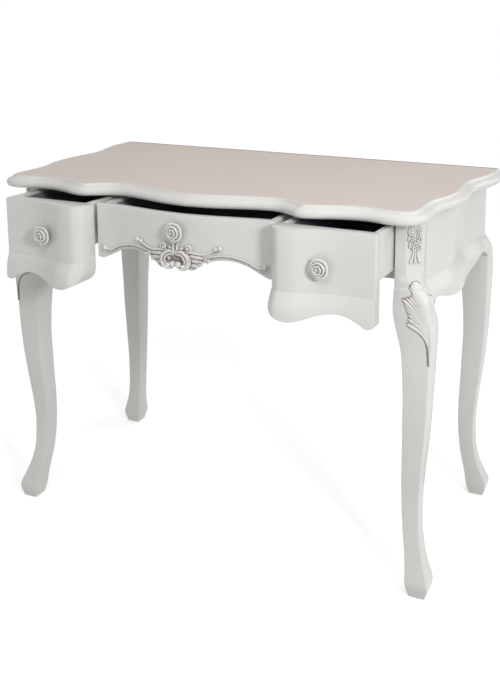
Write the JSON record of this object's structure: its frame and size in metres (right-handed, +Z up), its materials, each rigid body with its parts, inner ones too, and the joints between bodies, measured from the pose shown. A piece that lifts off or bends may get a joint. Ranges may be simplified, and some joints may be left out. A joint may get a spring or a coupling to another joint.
{
  "type": "dressing table",
  "caption": "Cabriole-leg dressing table with a serpentine moulded top, drawers that slide open, rose knobs and carved trim.",
  "frame": {"origin": "on the floor, below the middle of the object's box with the drawers as they stand at rest", "axes": "+X to the right as seen by a person sitting at the table, +Y from the drawers to the back, +Z up"},
  "size_m": [1.0204, 0.634, 0.78],
  "materials": {
    "lacquer": "antique white satin lacquer",
    "top_lacquer": "antique white satin lacquer",
    "carving": "antique white with a brown glaze left in the hollows",
    "bare_wood": "planed, unpainted",
    "flock": "dark grey flock",
    "steel": "zinc plated",
    "glide": "matt nylon"
  },
  "bodies": {
    "carcass": {"table_top": "top_lacquer", "side_panel_left": "lacquer", "side_panel_right": "lacquer", "back_panel": "lacquer", "lower_front_rail": "lacquer", "partition_left": "lacquer", "partition_right": "lacquer", "leg_front_left": "lacquer", "leg_front_right": "lacquer", "leg_back_left": "lacquer", "leg_back_right": "lacquer", "foot_glides": "glide", "runner_left_outer": "bare_wood", "runner_left_inner": "bare_wood", "runner_centre_left": "bare_wood", "runner_centre_right": "bare_wood", "runner_right_inner": "bare_wood", "runner_right_outer": "bare_wood", "block_front_left": "bare_wood", "block_front_right": "bare_wood", "block_back_left": "bare_wood", "block_back_right": "bare_wood", "leg_bolts": "steel", "top_screws": "steel", "corner_drop_left": "carving", "corner_drop_right": "carving", "knee_leaf_left": "carving", "knee_leaf_right": "carving"},
    "drawer_left": {"drawer_left_front": "lacquer", "drawer_left_side_a": "lacquer", "drawer_left_side_b": "lacquer", "drawer_left_back": "lacquer", "drawer_left_bottom": "lacquer", "drawer_left_lining": "flock", "drawer_left_knob": "carving", "drawer_left_knob_screw": "steel"},
    "drawer_centre": {"drawer_centre_front": "lacquer", "drawer_centre_side_a": "lacquer", "drawer_centre_side_b": "lacquer", "drawer_centre_back": "lacquer", "drawer_centre_bottom": "lacquer", "drawer_centre_lining": "flock", "drawer_centre_knob": "carving", "drawer_centre_knob_screw": "steel", "centre_ornament": "carving"},
    "drawer_right": {"drawer_right_front": "lacquer", "drawer_right_side_a": "lacquer", "drawer_right_side_b": "lacquer", "drawer_right_back": "lacquer", "drawer_right_bottom": "lacquer", "drawer_right_lining": "flock", "drawer_right_knob": "carving", "drawer_right_knob_screw": "steel"}
  },
  "joints": [
    {"name": "slide_left", "type": "slide", "parent": "carcass", "child": "drawer_left", "axis": [0, -1, 0], "range_m": [-0.107, 0.173]},
    {"name": "slide_centre", "type": "slide", "parent": "carcass", "child": "drawer_centre", "axis": [0, -1, 0], "range_m": [-0.083, 0.197]},
    {"name": "slide_right", "type": "slide", "parent": "carcass", "child": "drawer_right", "axis": [0, -1, 0], "range_m": [-0.097, 0.183]}
  ]
}
